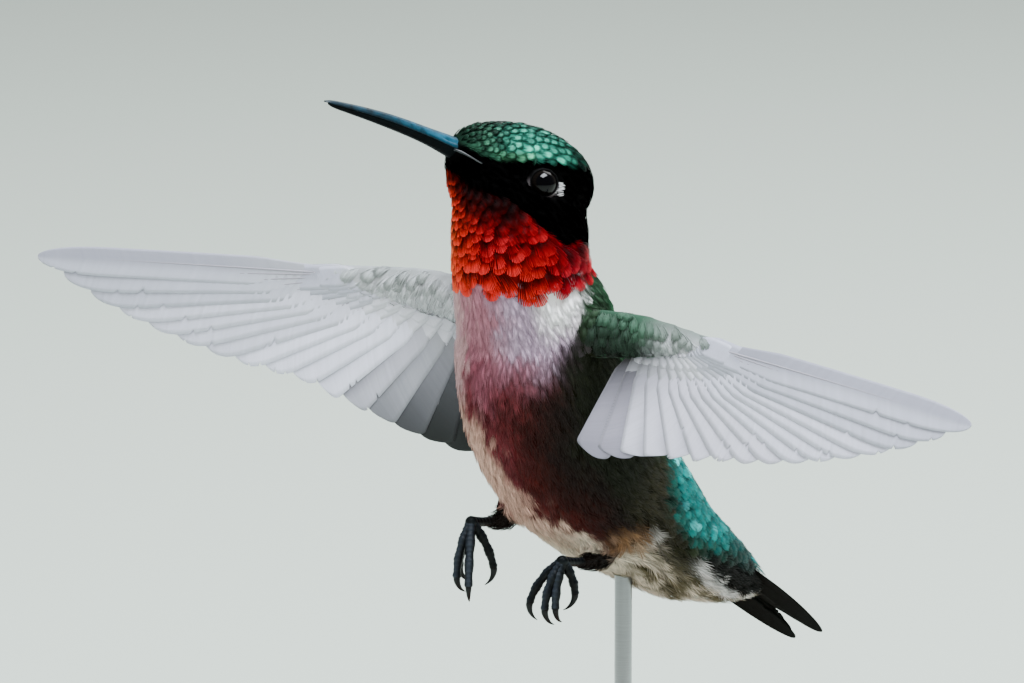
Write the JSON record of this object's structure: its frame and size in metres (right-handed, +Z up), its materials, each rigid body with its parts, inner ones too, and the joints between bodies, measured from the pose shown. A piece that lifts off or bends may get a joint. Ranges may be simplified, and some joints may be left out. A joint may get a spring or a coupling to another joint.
{
  "type": "hovering ruby-throated hummingbird display model",
  "caption": "Life-size adult male ruby-throated hummingbird, hovering with spread wings, held on a rod above a round display base.",
  "frame": {"origin": "centre of the flat underside of the stand's base", "axes": "+Z up out of the base, the bird's breast faces -Y, the bird's left wing points to +X"},
  "size_m": [0.1091, 0.0677, 0.0814],
  "materials": {
    "crown_feathers": "small iridescent green scale-like feathers, black on the face",
    "gorget_feathers": "glossy iridescent ruby to orange-red scale feathers",
    "body_feathers": "soft feathers, white breast, mauve and maroon belly, dark olive sides, green back",
    "rump_feathers": "iridescent teal scale feathers above, white and buff below",
    "covert_feathers": "short overlapping grey-green feathers",
    "wing_feathers": "thin lavender-grey flight feathers with dark shafts",
    "tail_feathers": "black feathers with a faint sheen",
    "leg_feathers": "short soft dark tufts",
    "foot_skin": "scaly blue-black skin",
    "claw_horn": "smooth black horn",
    "bill_horn": "smooth blue-black horn with a satin sheen",
    "eye": "wet glossy black-brown",
    "stand_steel": "brushed",
    "stand_wood": "dark stained walnut, satin lacquer"
  },
  "bodies": {
    "root": {"head": "crown_feathers", "neck": "gorget_feathers", "trunk": "body_feathers", "rump": "rump_feathers", "bill_upper": "bill_horn", "bill_lower": "bill_horn", "eye_left": "eye", "eye_right": "eye", "wing_left_coverts": "covert_feathers", "wing_left_secondaries": "wing_feathers", "wing_left_primaries": "wing_feathers", "wing_right_coverts": "covert_feathers", "wing_right_secondaries": "wing_feathers", "wing_right_primaries": "wing_feathers", "tail": "tail_feathers", "leg_left": "leg_feathers", "leg_right": "leg_feathers", "foot_left": "foot_skin", "foot_right": "foot_skin", "claw_left_inner": "claw_horn", "claw_left_middle": "claw_horn", "claw_left_outer": "claw_horn", "claw_left_hind": "claw_horn", "claw_right_inner": "claw_horn", "claw_right_middle": "claw_horn", "claw_right_outer": "claw_horn", "claw_right_hind": "claw_horn", "stand_rod": "stand_steel", "stand_base": "stand_wood"}
  },
  "joints": []
}
